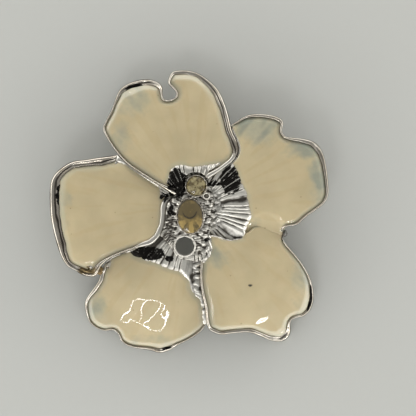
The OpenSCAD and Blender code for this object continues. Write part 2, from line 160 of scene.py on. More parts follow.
class BroochSizes(bpy.types.PropertyGroup):
    """Sizes of the visible pieces, in metres."""

    sheet: metres("Petal metal", "Metal under the enamel", 0.00105)
    enamel_rise: metres("Enamel height", "Enamel surface over a petal's underside", 0.00142)
    rim_rise: metres("Rim height", "Rolled rim over a petal's underside", 0.0017)
    ridge: metres("Ridge height", "Height of the cast ridges at the petals' bases", 0.00042)
    camera_far: metres("Camera distance", "From the flower to the camera", 0.85)
    view_width: metres("View width", "Width of the view at the petals", 0.0829)


class BroochColours(bpy.types.PropertyGroup):
    """Colours of the brooch's finishes."""

    metal: tint("Plating", "Polished silver-tone plating", 0.56, 0.52, 0.46)
    cast: tint("Cast metal", "Satin silver of the cast ridges", 0.72, 0.70, 0.645)
    stain: tint("Stain", "Brown stain beside the solder", 0.12, 0.088, 0.045)
    warm: tint("Warm enamel", "Tan streaks in the enamel", 0.46, 0.345, 0.18)
    # Black of the patches of tarnish and painted dark reflection
    dark_reflection_and_tarnish_colour: tint("Tarnish", "Blackened hollows", 0.012, 0.011, 0.010)
    enamel: tint("Enamel", "Thick enamel", 0.545, 0.452, 0.274)
    enamel_thin: tint("Thin enamel", "Veils of enamel so thin that the metal shows", 0.27, 0.285, 0.225)
    enamel_edge: tint("Enamel edge", "Paler enamel along the rims", 0.47, 0.445, 0.325)
    amber: tint("Amber glass", "Lit end of the oval stone", 0.44, 0.31, 0.10)
    # Painted shade: the shaded copy of the stones' glass, shown where their painted light is low
    painted_glass_shade: tint("Olive glass", "Dark end of the oval stone", 0.13, 0.095, 0.035)
    straw: tint("Straw glass", "Round stone", 0.44, 0.375, 0.20)
    floor: tint("Floor", "Plain pale floor", 0.575, 0.58, 0.555)


def sizes():
    """The scene's sizes."""
    return bpy.context.scene.brooch_sizes


def colours():
    """The scene's colours."""
    return bpy.context.scene.brooch_colours


# ---------------------------------------------------------------- curves worked out from the frame


def cad_mesh(node):
    """Corners (n, 3) in mm and triangles (m, 3) of a CAD node, with doubled corners merged."""
    mesh = frame["nodes"][node].data
    places = np.empty(len(mesh.vertices) * 3)
    mesh.vertices.foreach_get("co", places)
    mesh.calc_loop_triangles()
    corners = np.empty(len(mesh.loop_triangles) * 3, dtype=np.int64)
    mesh.loop_triangles.foreach_get("vertices", corners)
    places = places.reshape(-1, 3) * MM
    _, first, where = np.unique(np.round(places * 2000).astype(np.int64), axis=0, return_index=True,
                                return_inverse=True)
    return places[first], where.reshape(-1)[corners.reshape(-1, 3)]


def underside(node):
    """The triangles of a CAD node that look down."""
    places, tris = cad_mesh(node)
    across = np.cross(places[tris[:, 1]] - places[tris[:, 0]], places[tris[:, 2]] - places[tris[:, 0]])
    level = across[:, 2] / np.maximum(np.linalg.norm(across, axis=1), 1e-12)
    return places, tris[level < -0.3]


def outline(node, count=1200, soften=0.2):
    """The outline of a CAD node seen from below, as count points an equal way apart, counter-clockwise.

    Edges that only one downward triangle has are followed end to end. The corners left by the
    facets are rounded with a Gaussian average along the curve, soften mm wide."""
    places, tris = underside(node)
    edges = np.concatenate([tris[:, [0, 1]], tris[:, [1, 2]], tris[:, [2, 0]]])
    forward = edges[:, 0] * len(places) + edges[:, 1]
    backward = edges[:, 1] * len(places) + edges[:, 0]
    edges = edges[~np.isin(forward, backward)]
    follows = dict(zip(edges[:, 0].tolist(), edges[:, 1].tolist()))
    best = []
    while follows:
        start, here = follows.popitem()
        chain = [start]
        while here != start and here in follows:
            chain.append(here)
            here = follows.pop(here)
        best = max(best, chain, key=len)
    return even_loop(places[best][:, :2], count, soften)


def even_loop(points, count, soften):
    """A closed curve through points, resampled evenly, smoothed and turned counter-clockwise."""
    closed = np.vstack([points, points[:1]])
    way = np.concatenate([[0], np.cumsum(np.linalg.norm(np.diff(closed, axis=0), axis=1))])
    at = np.linspace(0, way[-1], count, endpoint=False)
    loop = np.stack([np.interp(at, way, closed[:, 0]), np.interp(at, way, closed[:, 1])], axis=1)
    wave = np.fft.fftfreq(count, way[-1] / count)
    keep = np.exp(-0.5 * (2 * np.pi * wave * soften) ** 2)
    loop = np.real(np.fft.ifft(np.fft.fft(loop, axis=0) * keep[:, None], axis=0))
    x, y = loop.T
    if np.sum(x * np.roll(y, -1) - y * np.roll(x, -1)) < 0:
        loop = loop[::-1]
    return loop


def dome_of(node):
    """Centre and radius in mm of the sphere that a petal's underside lies on, by least squares."""
    places, tris = underside(node)
    p = places[np.unique(tris)]
    fit = np.linalg.lstsq(np.column_stack([2 * p, np.ones(len(p))]), np.sum(p * p, axis=1), rcond=None)[0]
    return fit[:3], math.sqrt(fit[3] + np.sum(fit[:3] ** 2))


def dome_height(dome, xy):
    """Height of the dome over each place: the sphere's centre, plus the side left by Pythagoras."""
    (cx, cy, cz), radius = dome
    flat = (xy[:, 0] - cx) ** 2 + (xy[:, 1] - cy) ** 2
    return cz + np.sqrt(np.maximum(radius ** 2 - flat, 0))


def nearest(xy, loop):
    """For each place, the way to the nearest point of a loop, and that point's index."""
    away, index = [], []
    for part in np.array_split(xy, max(1, len(xy) // 3000)):
        square = ((part ** 2).sum(1)[:, None] + (loop ** 2).sum(1)[None, :] - 2 * part @ loop.T)
        found = square.argmin(axis=1)
        index.append(found)
        away.append(np.linalg.norm(part - loop[found], axis=1))
    return np.concatenate(away), np.concatenate(index)


def is_inside(xy, loop):
    """True where a ray from the place to the right crosses the loop an odd number of times."""
    a, b = loop[::3], np.roll(loop[::3], -1, axis=0)
    result = []
    for part in np.array_split(xy, max(1, len(xy) // 3000)):
        x, y = part[:, :1], part[:, 1:]
        spans = (a[:, 1] > y) != (b[:, 1] > y)
        rise = np.where(b[:, 1] == a[:, 1], 1e-12, b[:, 1] - a[:, 1])
        cross = a[:, 0] + (y - a[:, 1]) * (b[:, 0] - a[:, 0]) / rise
        result.append(np.sum(spans & (x < cross), axis=1) % 2 == 1)
    return np.concatenate(result)


def signed_gap(xy, loop):
    """Way to the loop, negative inside it."""
    return np.where(is_inside(xy, loop), -1, 1) * nearest(xy, loop)[0]


# ---------------------------------------------------------------- shapes of relief


def ease(low, high, value):
    """0 below low, 1 above high, and the cubic 3t^2 - 2t^3 between them."""
    t = np.clip((value - low) / (high - low), 0, 1)
    return t * t * (3 - 2 * t)


def wobble(xy, wave, seed, octaves=3):
    """Smooth unevenness, -1 to 1: sine waves in nine seeded directions, half as long in each octave."""
    rng = np.random.default_rng(seed)
    total, weight = np.zeros(len(xy)), 0.0
    for octave in range(octaves):
        turn = rng.uniform(0, 2 * np.pi, 9)
        phase = rng.uniform(0, 2 * np.pi, 9)
        pitch = 2 * np.pi / (wave * 0.5 ** octave) * rng.uniform(0.7, 1.3, 9)
        ways = np.stack([np.cos(turn), np.sin(turn)]) * pitch
        total += 0.5 ** octave * np.sin(xy @ ways + phase).sum(axis=1) / 3.2
        weight += 0.5 ** octave
    return np.clip(total / weight, -1, 1)


def ridges(xy, count, seed):
    """Ridges that run out from the flower's eye, 0 to 1: |sin| of the bearing, with sharp valleys.

    Two slow waves make some ridges wide and some narrow, and unevenness bends them a little."""
    dx, dy = xy[:, 0] - FLOWER_EYE[0], xy[:, 1] - FLOWER_EYE[1]
    bearing = np.arctan2(dy, dx) + 0.010 * wobble(xy, 5, seed)
    slow = 1.5 * np.sin(bearing * 7 + seed) + 0.8 * np.sin(bearing * 17)
    wide = np.abs(np.sin(bearing * count / 2 + slow))
    narrow = np.abs(np.sin(bearing * count * 1.5 + seed))
    return 0.9 * wide ** 0.5 + 0.1 * narrow


def pebbles(xy, seed):
    """Small cast pebbles, 0 to 1: smooth unevenness sharpened into rounded grains with narrow gaps."""
    return (0.5 + 0.5 * wobble(xy, 1.1, seed, 3)) ** 0.7


def patches(xy, ovals, ragged=0.35, wave=1.4, full=0.75):
    """0 to 1: how far a place lies in one of the ovals, whose edges are bent by smooth unevenness.

    The tone is whole out to the share full of the way to the oval's edge."""
    x = xy + ragged * np.stack([wobble(xy, wave, 71), wobble(xy, wave, 72)], axis=1)
    tone = np.zeros(len(xy))
    for cx, cy, wide, high, deep in ovals:
        reach = np.sqrt(((x[:, 0] - cx) / wide) ** 2 + ((x[:, 1] - cy) / high) ** 2)
        tone = np.maximum(tone, deep * (1 - ease(full, 1.1, reach)))
    return tone


def blackened(xy):
    """How far a place lies in one of the black patches of tarnish and painted dark reflection."""
    return patches(xy, DARK_REFLECTIONS_AND_TARNISH)


def dulled(xy, ornament):
    """Tone of the dirt in the dull places, which gathers where the relief is low."""
    return patches(xy, DULL) * (0.45 + 0.75 * (1 - ornament) + 0.3 * wobble(xy, 0.7, 91))


def streaks(xy, seed, wave=2.0):
    """Long streaks that run out from the flower's eye, -1 to 1: unevenness drawn out along the radius."""
    dx, dy = xy[:, 0] - FLOWER_EYE[0], xy[:, 1] - FLOWER_EYE[1]
    return wobble(np.stack([np.arctan2(dy, dx) * 14, np.hypot(dx, dy) * 0.1], axis=1), wave, seed)


# ---------------------------------------------------------------- meshes


def new_piece(name, places, quads, material, smooth=True, **tones):
    """A mesh object from corners in mm, faces, and named tones, one number a corner."""
    mesh = bpy.data.meshes.new(name)
    faces = quads if isinstance(quads, list) else quads.tolist()
    mesh.from_pydata((np.asarray(places) / MM).tolist(), [], faces)
    mesh.validate()
    for tone, values in tones.items():
        attribute = mesh.attributes.new(tone, "FLOAT", "POINT")
        attribute.data.foreach_set("value", np.asarray(values, dtype=np.float32))
    if smooth:
        mesh.shade_smooth()
    mesh.materials.append(material)
    piece = bpy.data.objects.new(name, mesh)
    bpy.context.scene.collection.objects.link(piece)
    return piece


def settle(piece, slot, *nodes, body=BODY):
    """The piece rides on its body and stands for CAD nodes, which it hides; slot is not used."""
    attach(piece, body)
    if nodes:
        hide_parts(*nodes)
    return piece


def plate(loops, step):
    """A square grid trimmed to the first loop and outside the others.

    Its border corners are moved to the nearest point of a loop, so the edge follows the curve.
    Returns the corners' places, quads, and border edges with the plate on their left."""
    low, high = loops[0].min(axis=0) - step, loops[0].max(axis=0) + step
    nx, ny = (np.ceil((high - low) / step)).astype(int) + 1
    gx, gy = np.meshgrid(low[0] + step * np.arange(nx), low[1] + step * np.arange(ny))
    grid = np.stack([gx.ravel(), gy.ravel()], axis=1)
    middle = np.stack([gx[:-1, :-1].ravel(), gy[:-1, :-1].ravel()], axis=1) + step / 2
    keep = is_inside(middle, loops[0])
    for hole in loops[1:]:
        keep &= ~is_inside(middle, hole)
    keep = keep.reshape(ny - 1, nx - 1)
    number = np.arange(ny * nx).reshape(ny, nx)
    a, b, c, d = number[:-1, :-1], number[:-1, 1:], number[1:, 1:], number[1:, :-1]
    quads = np.stack([a[keep], b[keep], c[keep], d[keep]], axis=1)
    padded = np.pad(keep, 1)
    sides = ((a, b, padded[:-2, 1:-1]), (b, c, padded[1:-1, 2:]),
             (c, d, padded[2:, 1:-1]), (d, a, padded[1:-1, :-2]))
    edges = np.concatenate([np.stack([p[keep & ~n], q[keep & ~n]], axis=1) for p, q, n in sides])
    used, quads = np.unique(quads, return_inverse=True)
    renumber = np.full(ny * nx, -1)
    renumber[used] = np.arange(len(used))
    edges, xy = renumber[edges], grid[used]
    border = np.unique(edges)
    every = np.concatenate(loops)
    xy[border] = every[nearest(xy[border], every)[1]]
    return xy, quads.reshape(-1, 4), edges


def slab(xy, quads, edges, top, low):
    """A closed slab over a plate: the top, the same grid turned over below it, and a wall round it."""
    n = len(xy)
    places = np.concatenate([np.column_stack([xy, top]), np.column_stack([xy, low])])
    wall = np.column_stack([edges[:, 0] + n, edges[:, 1] + n, edges[:, 1], edges[:, 0]])
    return places, np.concatenate([quads, quads[:, ::-1] + n, wall])


def tube(rings):
    """A closed tube from rings of corners, an array (rings, corners, 3), joined end to end."""
    n, m = rings.shape[:2]
    i, j = np.meshgrid(np.arange(n), np.arange(m), indexing="ij")
    i2, j2 = (i + 1) % n, (j + 1) % m
    quads = np.stack([i * m + j, i2 * m + j, i2 * m + j2, i * m + j2], axis=-1).reshape(-1, 4)
    return rings.reshape(-1, 3), quads


def power(value, exponent):
    """A signed power, which squares off or sharpens a sine."""
    return np.sign(value) * np.abs(value) ** exponent


def merge(*shapes):
    """Several (places, quads) as one."""
    count, places, quads = 0, [], []
    for p, q in shapes:
        places.append(p)
        quads.append(q + count)
        count += len(p)
    return np.concatenate(places), np.concatenate(quads)


# ---------------------------------------------------------------- materials


class Finish:
    """A small builder for node materials."""

    def __init__(self, name):
        self.material = bpy.data.materials.new(name)
        self.material.use_nodes = True
        self.tree = self.material.node_tree
        self.shader = self.tree.nodes["Principled BSDF"]
        self.place = self.node("ShaderNodeTexCoord").outputs["Object"]

    def node(self, kind, **inputs):
        made = self.tree.nodes.new(kind)
        self.feed(made, **inputs)
        return made

    def put(self, socket, value):
        """Links a socket to another node's output, or gives it a plain value."""
        if isinstance(value, bpy.types.NodeSocket):
            self.tree.links.new(value, socket)
        else:
            socket.default_value = value

    def feed(self, node, **inputs):
        for name, value in inputs.items():
            self.put(node.inputs[name.replace("_", " ")], value)

    def noise(self, scale, detail=3.0, rough=0.5, stretch=None):
        """Noise on Object coordinates, scale to the metre."""
        made = self.node("ShaderNodeTexNoise", Scale=scale, Detail=detail, Roughness=rough)
        place = self.place
        if stretch:
            place = self.node("ShaderNodeMapping", Vector=place, Scale=stretch).outputs[0]
        self.feed(made, Vector=place)
        return made.outputs["Fac"]

    def spots(self, scale):
        return self.node("ShaderNodeTexVoronoi", Scale=scale, Vector=self.place).outputs["Distance"]

    def tone(self, name):
        made = self.node("ShaderNodeAttribute")
        made.attribute_name = name
        return made.outputs["Fac"]

    def ramp(self, value, low, high, start=0.0, end=1.0):
        return self.node("ShaderNodeMapRange", Value=value, From_Min=low, From_Max=high, To_Min=start,
                         To_Max=end).outputs[0]

    def sum(self, a, b, how="ADD"):
        made = self.node("ShaderNodeMath")
        made.operation = how
        self.put(made.inputs[0], a)
        self.put(made.inputs[1], b)
        return made.outputs[0]

    def mix(self, share, a, b):
        made = self.node("ShaderNodeMix")
        made.data_type = "RGBA"
        for index, value in ((0, share), (6, a), (7, b)):
            self.put(made.inputs[index], value)
        return made.outputs[2]

    def bump(self, height, distance, strength=1.0):
        made = self.node("ShaderNodeBump", Height=height, Distance=distance, Strength=strength)
        self.feed(self.shader, Normal=made.outputs[0])


def paint(colour, share=1.0):
    """A colour as a node input, darkened to a share."""
    return (*[c * share for c in colour], 1.0)


def plating():
    """Silver-tone plating: polished on the rims, satin on the cast ridges, with black patches of tarnish
    and painted dark reflection, and dirt and painted shade in the hollows.
    """
    f = Finish("silver_plating")
    cloud = f.noise(380, 4)
    grain = f.noise(4200, 3)
    satin = f.tone("satin")
    # Tarnish and painted dark reflection: black patches, broken by ragged paler streaks
    black = f.ramp(f.sum(f.tone("black"), f.ramp(f.noise(1500, 3), 0.3, 0.7, -0.18, 0.18)), 0.4, 0.6)
    black = f.sum(black, f.ramp(f.noise(2600, 2), 0.62, 0.72, 1.0, 0.55), "MULTIPLY")
    # Dirt and painted shade: the hollows darken towards near-black
    grime_and_shade = f.ramp(f.sum(f.tone("hollow"), f.ramp(cloud, 0.3, 0.7, -0.12, 0.12)), 0.25, 0.85, 0.0, 0.95)
    worn = f.mix(f.ramp(cloud, 0.42, 0.72, 0.0, 0.7), paint(colours().metal), WORN)
    bright = f.mix(satin, worn, f.mix(f.ramp(grain, 0.35, 0.7, 0.0, 0.5), paint(colours().cast),
                                      paint(colours().cast, 0.75)))
    soiled_and_shaded = f.mix(grime_and_shade, bright, DIRT_AND_SHADE_TONE)
    stained = f.mix(f.tone("stain"), soiled_and_shaded, paint(colours().stain))
    polish = f.sum(f.ramp(cloud, 0.3, 0.75, 0.10, 0.24), f.sum(satin, 0.2, "MULTIPLY"))
    f.feed(f.shader, Base_Color=f.mix(black, stained, paint(colours().dark_reflection_and_tarnish_colour)), Metallic=1.0,
           Roughness=f.sum(polish, f.ramp(grain, 0.35, 0.75, 0.0, 0.08)))
    f.bump(f.sum(f.sum(grain, 0.25, "MULTIPLY"), cloud), 0.00003, 0.35)
    return f.material


def enamel_finish():
    """Glossy cream enamel: thin and grey-green in its veils, tan in its streaks, with pits and specks."""
    f = Finish("cream_enamel_finish")
    cloud = f.noise(140, 4)
    fine = f.noise(1300, 4)
    body = f.mix(f.ramp(cloud, 0.35, 0.65), paint(colours().enamel, 1.02), paint(colours().enamel, 0.87))
    warmth = f.sum(f.tone("warm"), f.ramp(fine, 0.3, 0.7, 0.6, 1.0), "MULTIPLY")
    warmed = f.mix(warmth, body, paint(colours().warm))
    thin = f.ramp(f.sum(f.tone("thin"), f.ramp(fine, 0.3, 0.7, -0.10, 0.10)), 0.08, 1.0, 0.0, 0.9)
    rind = f.ramp(f.sum(f.tone("rind"), f.ramp(cloud, 0.3, 0.7, -0.25, 0.25)), 0.2, 1.0, 0.0, 0.7)
    thinned = f.mix(thin, f.mix(rind, warmed, paint(colours().enamel_edge)), paint(colours().enamel_thin))
    pits = f.ramp(f.spots(260), 0.030, 0.045, 0.6, 0.0)
    pitted = f.mix(pits, thinned, PIT)
    f.feed(f.shader, Base_Color=f.mix(f.tone("speck"), pitted, SPECK_TONE), Metallic=0.0,
           Roughness=f.ramp(fine, 0.3, 0.8, 0.28, 0.40), IOR=1.5)
    f.feed(f.shader, **{"Coat Weight": 1.0, "Coat Roughness": 0.025, "Coat IOR": 1.5,
                        "Specular IOR Level": 0.2, "Subsurface Weight": 0.06, "Subsurface Scale": 0.0006})
    f.bump(f.sum(f.noise(420, 2), f.sum(fine, 0.06, "MULTIPLY")), 0.00004, 0.12)
    return f.material


def stone_finish(name, lit, dark, clear, rough, flaw, fine):
    """Foiled glass: painted light and painted shade of the foil seen through it, as a tone from the lit
    colour to the dark one, under a clear polished surface.
    """
    f = Finish(name)
    flaws = f.ramp(f.noise(fine, 3), 0.3, 0.7, -flaw, flaw)
    glow = f.mix(f.ramp(f.sum(f.tone("glow"), flaws), 0.0, 1.0), paint(dark), paint(lit))
    f.feed(f.shader, Base_Color=f.mix(f.tone("shadow"), glow, GLASS_SHADOW),
           Roughness=f.ramp(f.noise(2500, 3), 0.4, 0.8, rough, rough + 0.1), IOR=1.53)
    f.feed(f.shader, **{"Transmission Weight": clear, "Coat Weight": 0.8, "Coat Roughness": 0.02})
    return f.material


def foil_finish(name, colour, dark):
    """Crinkled foil behind a stone: golden at one end and tarnished at the other."""
    f = Finish(name)
    ridge = f.noise(1500, 3)
    tarnished = f.ramp(f.sum(f.tone("shade"), f.ramp(ridge, 0.2, 0.8, -0.3, 0.3)), 0.3, 0.75)
    f.feed(f.shader, Base_Color=f.mix(tarnished, paint(colour), paint(dark)), Metallic=0.75,
           Roughness=f.ramp(ridge, 0.3, 0.7, 0.2, 0.5))
    f.bump(ridge, 0.00015, 0.6)
    return f.material


def solder_finish(name, colour, metallic):
    """Dull lumpy solder with pits and residue."""
    f = Finish(name)
    lumps = f.noise(1400, 5, 0.6)
    f.feed(f.shader, Base_Color=f.mix(f.ramp(lumps, 0.35, 0.7), paint(colour), paint(colour, 0.35)),
           Metallic=metallic, Roughness=f.ramp(lumps, 0.3, 0.7, 0.3, 0.65))
    f.bump(lumps, 0.00012, 0.8)
    return f.material


def brushed_finish(name, colour, stretch):
    """Drawn or rolled metal: grain along one way, a little cloudy tarnish and soft scratches."""
    f = Finish(name)
    grain = f.noise(2600, 3, 0.6, stretch)
    cloud = f.noise(300, 4)
    rough = f.sum(f.ramp(cloud, 0.3, 0.7, 0.2, 0.36), f.ramp(grain, 0.3, 0.7, 0.0, 0.12))
    f.feed(f.shader, Base_Color=f.mix(f.ramp(cloud, 0.4, 0.75, 0, 0.6), paint(colour), paint(colour, 0.55)),
           Metallic=1.0, Roughness=rough)
    f.bump(grain, 0.00002, 0.6)
    return f.material


# ---------------------------------------------------------------- petals


def petal_curves(name):
    """Outline, enamel outline, dome, and how much of a rim each outline point carries and its width."""
    edge = outline(name + "_petal")
    pocket = outline(name + "_enamel", 1200, 0.15)
    width = nearest(edge, pocket)[0]
    carries = 1 - ease(WIDEST_RIM, WIDEST_RIM + 0.6, width)
    if name != "left":
        carries *= ease(0.15, 0.5, nearest(edge, outline("centre_casting"))[0])
    if name in BANDS:
        within = banded(name, edge)
        carries = np.maximum(carries, within)
        width = width + (BANDS[name][3] - width) * within
    for other in PETALS[name]:
        carries *= ease(0.1, 0.35, nearest(edge, outline(other + "_petal"))[0])
    carries *= 1 - bridged(name, edge)
    return edge, pocket, dome_of(name + "_petal"), along(carries, 9), along(width, 16)


def banded(name, xy):
    """1 where a petal's rim goes on past its enamel."""
    if name not in BANDS:
        return np.zeros(len(xy))
    x, y, reach, _ = BANDS[name]
    return 1 - ease(reach - 1.2, reach, np.hypot(xy[:, 0] - x, xy[:, 1] - y))


def bridged(name, xy):
    """1 where a petal's enamel flows over its edge on to its neighbour."""
    if name not in BRIDGES:
        return np.zeros(len(xy))
    x, y, reach, _ = BRIDGES[name]
    return 1 - ease(reach - 1.6, reach, np.hypot(xy[:, 0] - x, xy[:, 1] - y))


def flows_down(name, xy, room):
    """How far a petal sinks towards its bridged edge, where its enamel runs on to the petal below."""
    if name not in BRIDGES:
        return np.zeros(len(xy))
    return bridged(name, xy) * BRIDGES[name][3] * ease(-4.5, 0.2, room)


def along(values, points):
    """Values round a loop, smoothed with a Gaussian that many points wide."""
    wave = np.fft.fftfreq(len(values))
    return np.real(np.fft.ifft(np.fft.fft(values) * np.exp(-0.5 * (2 * np.pi * wave * points) ** 2)))


def inward(loop):
    """Unit vectors square to a counter-clockwise loop, pointing into it."""
    way = np.roll(loop, -2, axis=0) - np.roll(loop, 2, axis=0)
    way /= np.linalg.norm(way, axis=1, keepdims=True)
    return np.stack([-way[:, 1], way[:, 0]], axis=1)


def rolled_rim(edge, dome, carries, width, band, flow, seed):
    """The rolled rim: a squared-off oval, cos^0.8 by sin^0.7 of the angle, carried round the outline.

    A wide rim has a groove along its middle, as two rolls side by side, but none where band is 1.
    Returns its corners and quads, its tone of dirt and painted shade, which lies in the groove, along the
    enamel and down the outer side, and how far in from the outline each upper corner lies, 0 to 1."""
    s = sizes()
    way = np.linspace(0, 2 * np.pi, len(edge), endpoint=False)
    rng = np.random.default_rng(seed)
    drift = sum(np.sin(way * k + rng.uniform(0, 6.28)) * 0.33 for k in (3, 7, 12, 19, 31))
    wide = np.clip(width, 0.4, WIDEST_RIM) * (1 + 0.07 * drift)
    wide = wide * carries + UNRIMMED[0] * (1 - carries)
    rise = (s.rim_rise * MM + 0.12 * np.clip(wide, 0, 2) + 0.03 * drift) * carries
    rise = np.maximum(rise + (1 - carries) * UNRIMMED[1] - 1.1 * flow, LEAST_METAL)
    angle = np.linspace(0, 2 * np.pi, 32, endpoint=False)
    across = 0.5 - 0.5 * power(np.cos(angle), 0.8)
    up = 0.5 + 0.5 * power(np.sin(angle), 0.7)
    middle = (0.52 + 0.08 * np.sin(way * 4 + seed))[:, None]
    deep = ease(0.8, 1.4, wide) * (1 - band)
    groove = np.exp(-(((across - middle) / 0.12) ** 2)) * (np.sin(angle) > 0) * deep[:, None]
    height = up * rise[:, None] - groove * 0.38
    xy = edge[:, None, :] + inward(edge)[:, None, :] * (across * wide[:, None])[:, :, None]
    outer = (0.62 + 0.3 * np.sin(way * 9 + seed))[:, None] * (1 - ease(0.04, 0.20, across))
    # Dirt and painted shade: darker in the groove, a painted shadow line along the enamel, and darker down
    # the outer side
    grime_and_shade = np.maximum(np.maximum(1.1 * groove, ease(0.72, 0.9, across) * (up > 0.4)), outer)
    grime_and_shade = grime_and_shade * (1 - 0.6 * band[:, None])
    places, quads = tube(np.dstack([xy, dome_height(dome, edge)[:, None] + height]))
    return places, quads, grime_and_shade, np.tile(across * (up > 0.4), len(edge))


def petal_ornament(xy, seed):
    """Relief of a petal's base, 0 to 1: ridges, and pebbles round the eye and in the lower strip.

    Returns the relief, the share of pebbles in it, and the way from the flower's eye."""
    x, y = xy.T
    reach = np.hypot(x - FLOWER_EYE[0], y - FLOWER_EYE[1])
    strip = ease(-8, -10, y) * ease(0.2, 1.2, x) * ease(4.5, 3.0, x)
    drawn_out = 2.8 * ease(-1, -3, x) * ease(0, -2, y)
    pebbled = np.maximum(strip, ease(6.6, 5.0, reach - drawn_out + 0.8 * wobble(xy, 2.5, seed + 40)))
    ornament = ridges(xy, RIDGES, seed) * (1 - 0.8 * pebbled) + pebbles(xy, seed + 5) * 0.8 * pebbled
    return ornament, pebbled, reach


def petal_metal(name, seed):
    """A petal's casting: a domed sheet with ridges at its base, and its rolled rim."""
    s = sizes()
    edge, pocket, dome, carries, width = petal_curves(name)
    xy, quads, edges = plate([edge], METAL_STEP)
    under = dome_height(dome, xy)
    depth, near = nearest(xy, edge)
    under_rim = carries[near] * (1 - ease(0, 0.4, depth - width[near]))
    relief = ease(-0.9, 0.6, signed_gap(xy, pocket)) * (1 - under_rim) * (1 - bridged(name, xy))
    ornament, pebbled, reach = petal_ornament(xy, seed)
    swell = 0.12 + 0.12 * np.sin(np.clip(reach - 3, 0, 9) / 9 * np.pi)
    thick = np.maximum(s.sheet * MM - flows_down(name, xy, -depth), LEAST_METAL)
    top = under + thick + relief * (s.ridge * MM * (ornament - 0.15) + swell)
    low = under + 0.05 + 0.04 * wobble(xy, 1.2, seed + 9)
    band = banded(name, edge)
    flow = flows_down(name, edge, np.zeros(len(edge)))
    *rim, grime_and_shade, inner = rolled_rim(edge, dome, carries, width, band, flow, seed)
    places, faces = merge(slab(xy, quads, edges, top, low), rim)
    flat, n = places[:, :2], len(xy)
    # Dirt and painted shade: darker in the valleys between ridges and pebbles, in the dull places, and on
    # the underside
    valley = (1.5 - 0.3 * pebbled) * relief * (1 - ornament) * (1 + 0.6 * wobble(xy, 3, seed + 6))
    hollow = np.concatenate([np.maximum(valley, dulled(xy, ornament)), np.full(n, 0.35), grime_and_shade.ravel()])
    # Tarnish and painted dark reflection: none on the ridge crests of the upper fans or on the underside,
    # and on the rims only towards their inner tops
    black = blackened(flat)
    black[:n] *= 1 - ease(0.965, 0.99, ornament) * ease(5.2, 6.2, reach) * (xy[:, 1] > 0)
    black[n:2 * n] = 0
    black[2 * n:] *= ease(0.25, 0.45, inner)
    satin = np.concatenate([relief, np.full(n, 0.5), np.repeat(0.8 * band, grime_and_shade.shape[1])])
    return new_piece(name + "_petal_metal", places, faces, material("plating"), hollow=hollow, black=black,
                     satin=satin, stain=patches(flat, STAINS))


def petal_enamel(name, seed):
    """A petal's enamel: a glossy pool that dips at its edges and runs out between the ridges."""
    s = sizes()
    edge, pocket, dome = petal_curves(name)[:3]
    spread = 0.55 + 1.2 * bridged(name, pocket)
    grown = even_loop(pocket - inward(pocket) * spread[:, None], len(pocket), 0.25)
    xy, quads, edges = plate([grown], ENAMEL_STEP)
    gap, room = signed_gap(xy, pocket), signed_gap(xy, edge)
    under = dome_height(dome, xy)
    over = bridged(name, xy)
    folds = 0.06 * wobble(xy, 15, seed + 20, 1) + 0.022 * wobble(xy, 5, seed + 21, 2)
    dips = 0.32 * ease(-1.1, 0.55, gap) + 0.25 * ease(-0.35, -0.05, room)
    flow = flows_down(name, xy, room)
    top = under + s.enamel_rise * MM + folds - dips * (1 - over) - flow
    fold = np.clip(0.4 + 1.3 * streaks(xy, seed + 60, 3.2), 0, 1)
    veil = patches(xy, VEILS, 0.8, 6, 0.0)
    thin = np.clip(veil * (0.38 + 0.85 * fold), 0, 1)
    rind = np.maximum(ease(-1.6, 0.2, gap), 0.9 * veil) * (1 - over)
    tan = np.clip(-0.7 * streaks(xy, seed + 30) - 0.12, 0, 0.3)
    warm = tan * ease(0, -2, gap) + patches(xy, STAINS) * 0.9
    x, y, wide = SPECK
    speck = 1 - ease(0.8, 1.1, np.hypot((xy[:, 0] - x) / wide, (xy[:, 1] - y) / wide * 1.7))
    shift = np.clip(room + 0.12 - 0.6 * over, 0, 1)
    xy = xy + inward(edge)[nearest(xy, edge)[1]] * shift[:, None]
    low = under + np.maximum(s.sheet * MM - 0.35 - flow, 0.02)
    places, faces = slab(xy, quads, edges, top, low)
    return new_piece(name + "_petal_enamel", places, faces, material("enamel"), thin=np.tile(thin, 2),
                     rind=np.tile(rind, 2), warm=np.tile(warm, 2), speck=np.tile(speck, 2))


# ---------------------------------------------------------------- centre, stones and solder


def middle_of(node):
    """Middle and half size of a CAD node's box, in mm."""
    low, high = (np.array(corner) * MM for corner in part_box(node))
    return (low + high) / 2, (high - low) / 2


def ring_path(node, grow, turn=0.0, count=96):
    """An oval round a node's box, grown all round and leaning by turn degrees."""
    (cx, cy, _), (a, b, _) = middle_of(node)
    way = np.linspace(0, 2 * np.pi, count, endpoint=False)
    x, y = (a + grow) * np.cos(way), (b + grow) * np.sin(way)
    c, s = math.cos(math.radians(turn)), math.sin(math.radians(turn))
    return np.stack([cx + x * c - y * s, cy + x * s + y * c], axis=1)


def bezel(name, loop, low, high, wall, scallops=0, notch=0.15, satin=0.3):
    """A collar: a rounded wall carried round a loop, its top edge dipping between scallops."""
    way = np.linspace(0, 2 * np.pi, len(loop), endpoint=False)
    top = high - notch * (0.5 - 0.5 * np.cos(way * scallops)) + 0.03 * np.sin(way * 7 + 1)
    angle = np.linspace(0, 2 * np.pi, 16, endpoint=False)
    across = wall / 2 * power(np.cos(angle), 0.8)
    up = 0.5 + 0.5 * power(np.sin(angle), 0.7)
    xy = loop[:, None, :] - inward(loop)[:, None, :] * across[None, :, None]
    height = low + up[None, :] * (top - low)[:, None]
    places, quads = tube(np.dstack([xy, height])[:, ::-1])
    # Tarnish and painted dark reflection, faint on the collar
    return settle(new_piece(name, places, quads, material("plating"), black=blackened(places[:, :2]) * 0.3,
                            # Dirt and painted shade: the collar darkens towards its foot
                            hollow=1.1 * (1 - np.tile(up[::-1], len(loop))) ** 0.45,
                            satin=np.full(len(places), satin)), "silver_plate")


